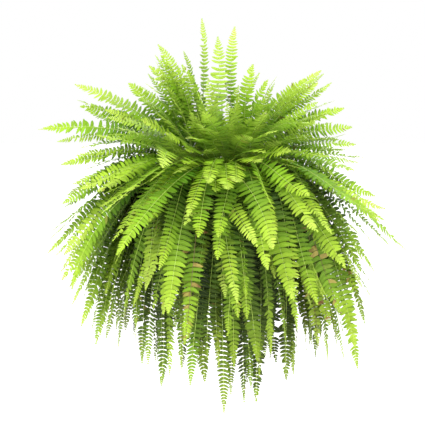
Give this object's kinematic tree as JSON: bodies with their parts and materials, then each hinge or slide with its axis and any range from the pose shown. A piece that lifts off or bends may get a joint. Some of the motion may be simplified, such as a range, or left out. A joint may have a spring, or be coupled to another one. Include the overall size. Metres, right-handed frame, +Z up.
{
  "type": "potted boston fern",
  "caption": "Boston fern with long arching, drooping fronds of small leaflets, growing from soil in a plain round hanging pot on a three-wire hanger with a hook.",
  "frame": {"origin": "underside of the top of the hook's curl, on the pot's axis, where the hook hangs on its rail", "axes": "+Z up along the pot's axis; -Y toward the viewer of the picture; +X to that viewer's right"},
  "size_m": [0.9064, 0.7511, 0.9406],
  "materials": {
    "leaf": "satin",
    "pot": "satin",
    "soil": "matte",
    "wire": "satin"
  },
  "bodies": {
    "root": {"pot": "pot", "soil": "soil", "hanger_hook": "wire", "hanger_wire_1": "wire", "hanger_wire_2": "wire", "hanger_wire_3": "wire", "fronds_01": "leaf", "fronds_02": "leaf", "fronds_03": "leaf", "fronds_04": "leaf", "fronds_05": "leaf", "fronds_06": "leaf", "fronds_07": "leaf", "fronds_08": "leaf", "fronds_09": "leaf", "fronds_10": "leaf", "fronds_11": "leaf", "fronds_12": "leaf", "fronds_13": "leaf", "fronds_14": "leaf", "fronds_15": "leaf", "fronds_16": "leaf", "fronds_17": "leaf", "fronds_18": "leaf", "fronds_19": "leaf", "fronds_20": "leaf", "fronds_21": "leaf", "fronds_22": "leaf", "fronds_23": "leaf", "fronds_24": "leaf", "fronds_25": "leaf", "fronds_26": "leaf", "fronds_27": "leaf", "fronds_28": "leaf", "fronds_29": "leaf", "fronds_30": "leaf", "fronds_31": "leaf", "fronds_32": "leaf", "fronds_33": "leaf", "fronds_34": "leaf", "fronds_35": "leaf", "fronds_36": "leaf", "fronds_37": "leaf", "fronds_38": "leaf", "fronds_39": "leaf", "fronds_40": "leaf", "fronds_41": "leaf", "fronds_42": "leaf", "fronds_43": "leaf", "fronds_44": "leaf"}
  },
  "joints": []
}
